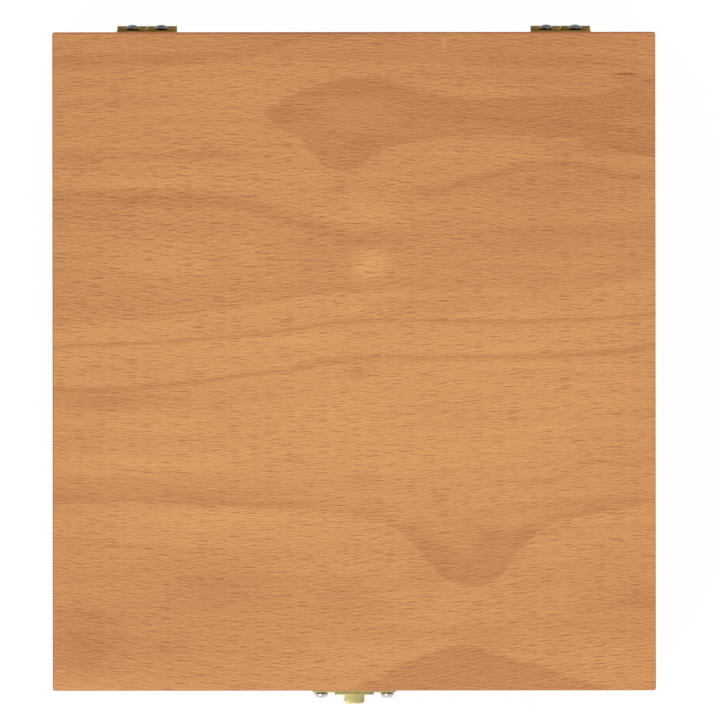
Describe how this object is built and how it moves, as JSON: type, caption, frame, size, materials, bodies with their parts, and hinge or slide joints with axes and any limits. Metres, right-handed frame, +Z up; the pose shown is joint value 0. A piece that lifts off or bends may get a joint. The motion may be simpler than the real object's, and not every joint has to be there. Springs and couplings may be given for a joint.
{
  "type": "watercolour paint drawer box",
  "caption": "Flat wooden paint box with a hinged lid and front hasp latch over a pan rack and lift-out palette, and a divided drawer below.",
  "frame": {"origin": "middle of the case's underside", "axes": "+X right, -Y front with latch and drawer, +Y back with hinges, +Z up"},
  "size_m": [0.25, 0.2823, 0.0813],
  "materials": {
    "beech": "satin clear lacquer on beech",
    "beech_veneered_ply": "satin clear lacquer on beech veneer",
    "brass_plated": "polished brass plate on stamped steel",
    "steel": "bright zinc-plated steel",
    "pan_plastic": "moulded white plastic",
    "palette_plastic": "glossy white plastic",
    "yellow_paint": "dry watercolour cake",
    "red_paint": "dry watercolour cake",
    "violet_paint": "dry watercolour cake",
    "blue_paint": "dry watercolour cake",
    "green_paint": "dry watercolour cake",
    "earth_paint": "dry watercolour cake"
  },
  "bodies": {
    "case": {"blue_cakes": "blue_paint", "case_back": "beech", "case_bottom": "beech_veneered_ply", "case_hinge_screws": "steel", "case_left_side": "beech", "case_right_side": "beech", "case_upper_front": "beech", "compartment_floor": "beech_veneered_ply", "earth_cakes": "earth_paint", "green_cakes": "green_paint", "half_pans_back_row": "pan_plastic", "half_pans_front_row": "pan_plastic", "half_pans_second_row": "pan_plastic", "half_pans_third_row": "pan_plastic", "latch_base_plate": "brass_plated", "latch_base_screws": "steel", "latch_pin": "steel", "left_hinge_case_leaf": "brass_plated", "left_hinge_pin": "steel", "rack_end_rails": "beech", "rack_slats": "beech", "red_cakes": "red_paint", "right_hinge_case_leaf": "brass_plated", "right_hinge_pin": "steel", "violet_cakes": "violet_paint", "yellow_cakes": "yellow_paint"},
    "lid": {"latch_strike_plate": "brass_plated", "left_hinge_lid_leaf": "brass_plated", "lid_back_rail": "beech", "lid_front_rail": "beech", "lid_hinge_screws": "steel", "lid_left_rail": "beech", "lid_right_rail": "beech", "lid_top_panel": "beech_veneered_ply", "right_hinge_lid_leaf": "brass_plated", "strike_screws": "steel"},
    "latch": {"latch_hasp": "brass_plated"},
    "palette": {"mixing_palette": "palette_plastic"},
    "drawer": {"drawer_back": "beech", "drawer_bottom": "beech_veneered_ply", "drawer_brush_divider": "beech", "drawer_front": "beech", "drawer_left_divider": "beech", "drawer_left_side": "beech", "drawer_rear_divider": "beech", "drawer_right_divider": "beech", "drawer_right_side": "beech"}
  },
  "joints": [
    {"name": "lid_hinge", "type": "hinge", "parent": "case", "child": "lid", "pos_m": [0, 0.1381, 0.06215], "axis": [-1, 0, 0], "range_deg": [0, 135]},
    {"name": "hasp_pivot", "type": "hinge", "parent": "case", "child": "latch", "pos_m": [0, -0.13925, 0.05065], "axis": [1, 0, 0], "range_deg": [0, 170]},
    {"name": "drawer_slide", "type": "slide", "parent": "case", "child": "drawer", "axis": [0, -1, 0], "range_m": [0, 0.19]},
    {"name": "palette_lift", "type": "slide", "parent": "case", "child": "palette", "axis": [0, 0, 1], "range_m": [0, 0.03]}
  ]
}
